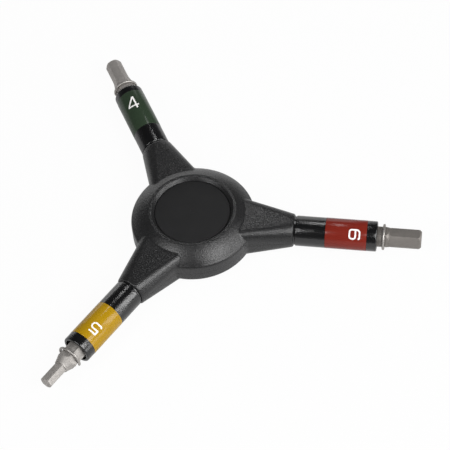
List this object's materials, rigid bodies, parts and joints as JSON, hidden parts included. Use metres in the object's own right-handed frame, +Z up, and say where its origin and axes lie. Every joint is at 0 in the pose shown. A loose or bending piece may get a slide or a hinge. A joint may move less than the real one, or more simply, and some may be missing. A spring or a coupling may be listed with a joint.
{
  "type": "y wrench",
  "caption": "Y-shaped hex wrench: a round moulded hub with flat inset caps, tubular bit holders with coloured size bands, and pull-out hex bits.",
  "frame": {"origin": "point where the three arm axes meet, at the middle plane of the hub", "axes": "+X along the arm marked 6, +Z up through the hub, square to all three arms"},
  "size_m": [0.1158, 0.1338, 0.0152],
  "materials": {
    "hub_plastic": "fine spark-eroded texture, black",
    "cap_plastic": "smooth matte, black",
    "coated_steel": "black textured powder coat",
    "band_red": "glossy film, dark red",
    "band_green": "glossy film, dark green",
    "band_yellow": "glossy film, golden yellow",
    "bit_steel": "satin, warm grey",
    "ring_steel": "plain spring wire",
    "magnet_plating": "nickel plated",
    "screw_steel": "blackened steel"
  },
  "bodies": {
    "wrench_body": {"hub_shell_upper": "hub_plastic", "hub_shell_lower": "hub_plastic", "centre_cap_upper": "cap_plastic", "centre_cap_lower": "cap_plastic", "closing_screw_1": "screw_steel", "closing_screw_2": "screw_steel", "closing_screw_3": "screw_steel", "holder_tube_6": "coated_steel", "holder_tube_4": "coated_steel", "holder_tube_5": "coated_steel", "socket_magnet_6": "magnet_plating", "socket_magnet_4": "magnet_plating", "socket_magnet_5": "magnet_plating", "size_band_6": "band_red", "size_band_4": "band_green", "size_band_5": "band_yellow"},
    "bit_6mm": {"hex_bit_6mm": "bit_steel", "retaining_ring_6mm": "ring_steel"},
    "bit_5mm": {"hex_bit_5mm": "bit_steel", "retaining_ring_5mm": "ring_steel"},
    "bit_4mm": {"hex_bit_4mm": "bit_steel", "retaining_ring_4mm": "ring_steel"}
  },
  "joints": [
    {"name": "pull_bit_6mm", "type": "slide", "parent": "wrench_body", "child": "bit_6mm", "axis": [1, 0, 0], "range_m": [0, 0.0143]},
    {"name": "pull_bit_5mm", "type": "slide", "parent": "wrench_body", "child": "bit_5mm", "axis": [-0.5, 0.866, 0], "range_m": [0, 0.0143]},
    {"name": "pull_bit_4mm", "type": "slide", "parent": "wrench_body", "child": "bit_4mm", "axis": [-0.5, -0.866, 0], "range_m": [0, 0.0143]}
  ]
}
